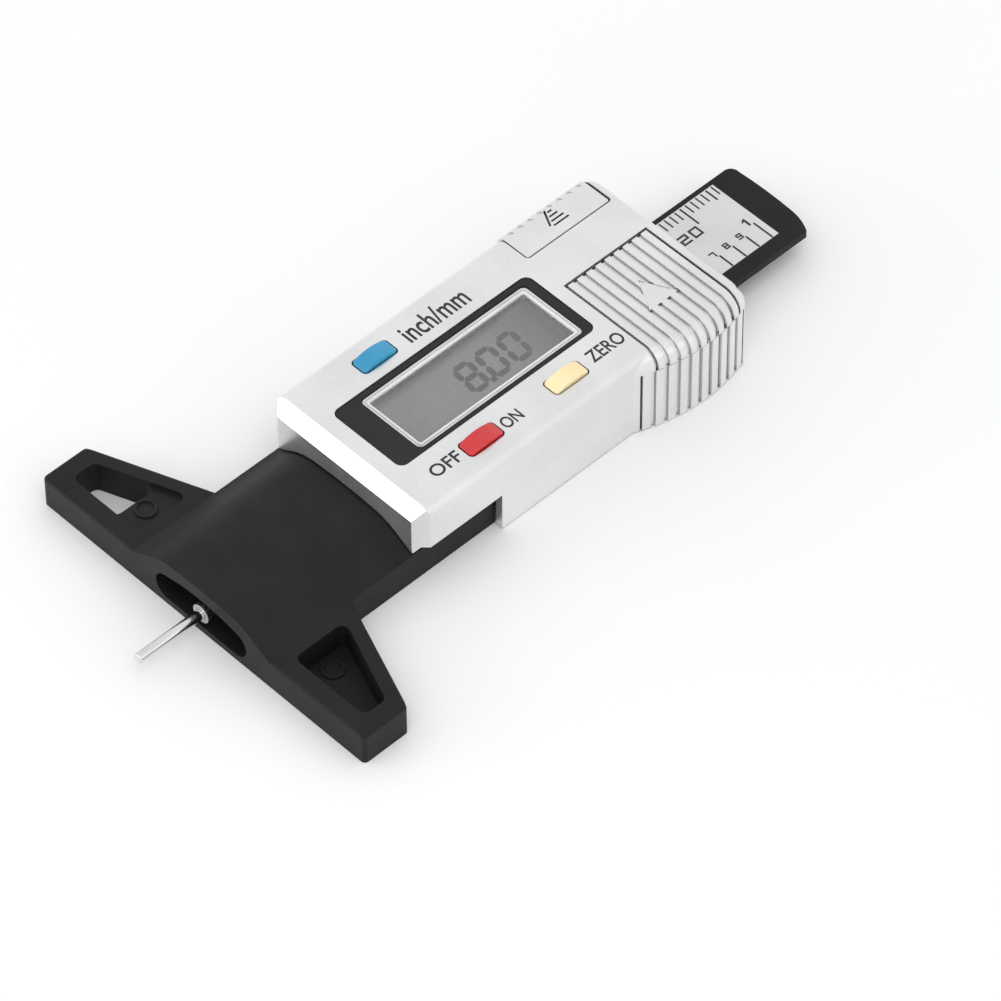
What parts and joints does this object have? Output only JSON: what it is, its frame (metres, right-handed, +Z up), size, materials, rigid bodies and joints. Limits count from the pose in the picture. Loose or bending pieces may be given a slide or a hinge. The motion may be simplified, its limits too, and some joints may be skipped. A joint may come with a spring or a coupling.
{
  "type": "tire tread gauge",
  "caption": "Tread depth gauge: black T-shaped base and scaled beam, with a sliding silver digital housing that pushes a thin steel probe out of the base.",
  "frame": {"origin": "on the table plane, under the middle of the gauge's bounding box", "axes": "+Z up through the display, +Y from the T-base along the beam to its scaled end, +X towards the battery cover"},
  "size_m": [0.062, 0.1164, 0.0148],
  "materials": {
    "black_abs": "moulded black plastic with a fine matt grain",
    "silver_shell": "silver-painted plastic, satin gloss",
    "frame_black": "black plastic, smooth",
    "bezel_grey": "light grey plastic rim",
    "window_clear": "clear acrylic window",
    "lcd_grey": "grey liquid crystal panel with faint segments",
    "reflector": "white reflector film",
    "label_silver": "silver-grey printed scale label",
    "steel": "plain steel",
    "spring_steel": "bright spring steel",
    "probe_chrome": "bright plated steel rod",
    "brass": "turned brass",
    "contact_nickel": "nickel-plated contact strip",
    "cell_steel": "button cell can",
    "acetal": "natural white plastic",
    "elastomer": "conductive elastomer strip",
    "board_green": "green circuit board",
    "epoxy_black": "black epoxy blob",
    "key_blue": "blue plastic key",
    "key_red": "red plastic key",
    "key_yellow": "yellow plastic key"
  },
  "bodies": {
    "base": {"base_beam": "black_abs", "stator_strip": "board_green", "scale_label": "label_silver", "probe_bush": "steel", "end_stop": "black_abs", "end_stop_screws": "steel"},
    "slider": {"front_cover": "silver_shell", "back_cover": "silver_shell", "back_cover_screws": "steel", "slide_shoes": "acetal", "gib_spring": "spring_steel", "probe_pin": "probe_chrome", "probe_clamp": "brass", "probe_screw": "steel", "display_frame": "frame_black", "display_bezel": "bezel_grey", "display_window": "window_clear", "lcd_panel": "lcd_grey", "lcd_holder": "acetal", "lcd_reflector": "reflector", "zebra_strips": "elastomer", "main_board": "board_green", "board_screws": "steel", "controller_chip": "epoxy_black", "key_domes": "spring_steel", "sensor_board": "board_green", "board_header": "frame_black", "battery_tray": "frame_black", "contact_minus": "contact_nickel", "contact_plus": "contact_nickel", "button_cell": "cell_steel"},
    "unit_key": {"unit_key": "key_blue"},
    "power_key": {"power_key": "key_red"},
    "zero_key": {"zero_key": "key_yellow"},
    "battery_cover": {"battery_cover": "silver_shell"}
  },
  "joints": [
    {"name": "depth_slide", "type": "slide", "parent": "base", "child": "slider", "axis": [0, -1, 0], "range_m": [-0.011, 0.0144]},
    {"name": "unit_press", "type": "slide", "parent": "slider", "child": "unit_key", "axis": [0, 0, -1], "range_m": [0, 0.0005], "stiffness_N_per_m": 2000},
    {"name": "power_press", "type": "slide", "parent": "slider", "child": "power_key", "axis": [0, 0, -1], "range_m": [0, 0.0005], "stiffness_N_per_m": 2000},
    {"name": "zero_press", "type": "slide", "parent": "slider", "child": "zero_key", "axis": [0, 0, -1], "range_m": [0, 0.0005], "stiffness_N_per_m": 2000},
    {"name": "cover_slide", "type": "slide", "parent": "slider", "child": "battery_cover", "axis": [1, 0, 0], "range_m": [0, 0.022]}
  ]
}
